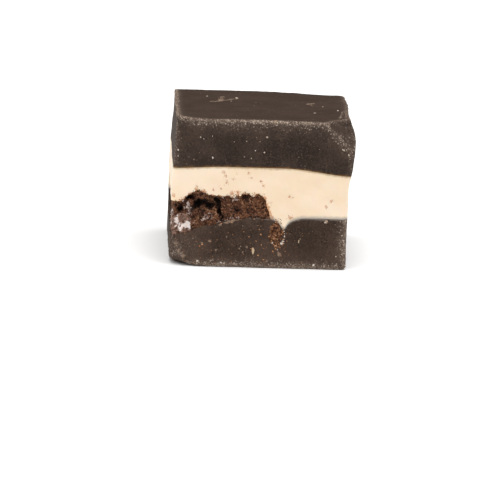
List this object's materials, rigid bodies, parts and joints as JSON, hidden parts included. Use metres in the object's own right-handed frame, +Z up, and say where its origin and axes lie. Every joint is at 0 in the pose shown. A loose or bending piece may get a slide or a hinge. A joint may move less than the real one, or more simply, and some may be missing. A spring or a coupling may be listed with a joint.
{
  "type": "layered fudge square",
  "caption": "Square of layered fudge: dark chocolate over vanilla cream over dark chocolate, with a piece of chocolate sandwich biscuit set in its front and left cuts.",
  "frame": {"origin": "centre of the underside of the square's bounding box", "axes": "+Z up from the face it rests on, -Y out of the front cut that the picture shows, +X to the right seen from the front"},
  "size_m": [0.0392, 0.0382, 0.0326],
  "materials": {
    "chocolate_top": "dark chocolate fudge, satin on the poured top and grainy at the cuts",
    "cream_layer": "vanilla cream fudge, smooth and slightly translucent",
    "chocolate_bottom": "dark chocolate fudge, matt and grainy",
    "biscuit": "dark chocolate wafer, broken and crumbly",
    "biscuit_filling": "white biscuit filling smeared with crumbs",
    "biscuit_chunk": "dark chocolate wafer, broken and crumbly"
  },
  "bodies": {
    "root": {"chocolate_top": "chocolate_top", "cream_layer": "cream_layer", "chocolate_bottom": "chocolate_bottom", "biscuit": "biscuit", "biscuit_filling": "biscuit_filling", "biscuit_chunk": "biscuit_chunk"}
  },
  "joints": []
}
